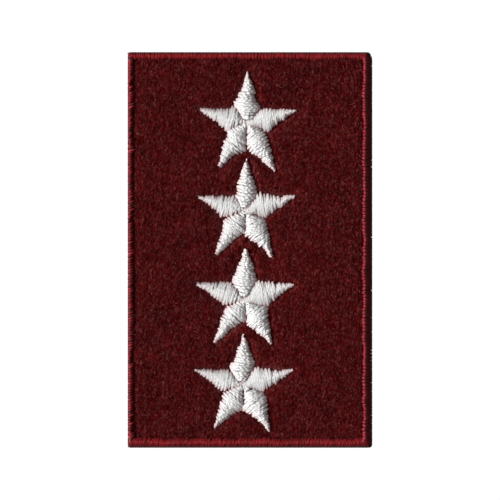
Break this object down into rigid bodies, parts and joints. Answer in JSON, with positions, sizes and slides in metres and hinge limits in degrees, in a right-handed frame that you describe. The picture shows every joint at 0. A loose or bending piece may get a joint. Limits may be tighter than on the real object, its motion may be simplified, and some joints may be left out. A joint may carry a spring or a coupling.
{
  "type": "embroidered beret rank patch",
  "caption": "Upright cloth beret patch: napped maroon wool ground, overcast dark red edge and a column of raised stars in white satin stitch.",
  "frame": {"origin": "middle of the patch's back face, which lies on the floor or against the beret", "axes": "+X to the patch's right, +Y to its top edge, +Z out of its embroidered face"},
  "size_m": [0.03, 0.0486, 0.002],
  "materials": {
    "wool_ground": "dark maroon woven wool with a short brushed nap, matt",
    "edge_thread": "dark red embroidery thread, soft sheen",
    "star_thread": "white embroidery thread, satin sheen"
  },
  "bodies": {
    "root": {"ground_cloth": "wool_ground", "edge_stitching": "edge_thread", "star_1_right": "star_thread", "star_1_top": "star_thread", "star_1_left": "star_thread", "star_1_lower_left": "star_thread", "star_1_lower_right": "star_thread", "star_2_right": "star_thread", "star_2_top": "star_thread", "star_2_left": "star_thread", "star_2_lower_left": "star_thread", "star_2_lower_right": "star_thread", "star_3_right": "star_thread", "star_3_top": "star_thread", "star_3_left": "star_thread", "star_3_lower_left": "star_thread", "star_3_lower_right": "star_thread", "star_4_right": "star_thread", "star_4_top": "star_thread", "star_4_left": "star_thread", "star_4_lower_left": "star_thread", "star_4_lower_right": "star_thread"}
  },
  "joints": []
}
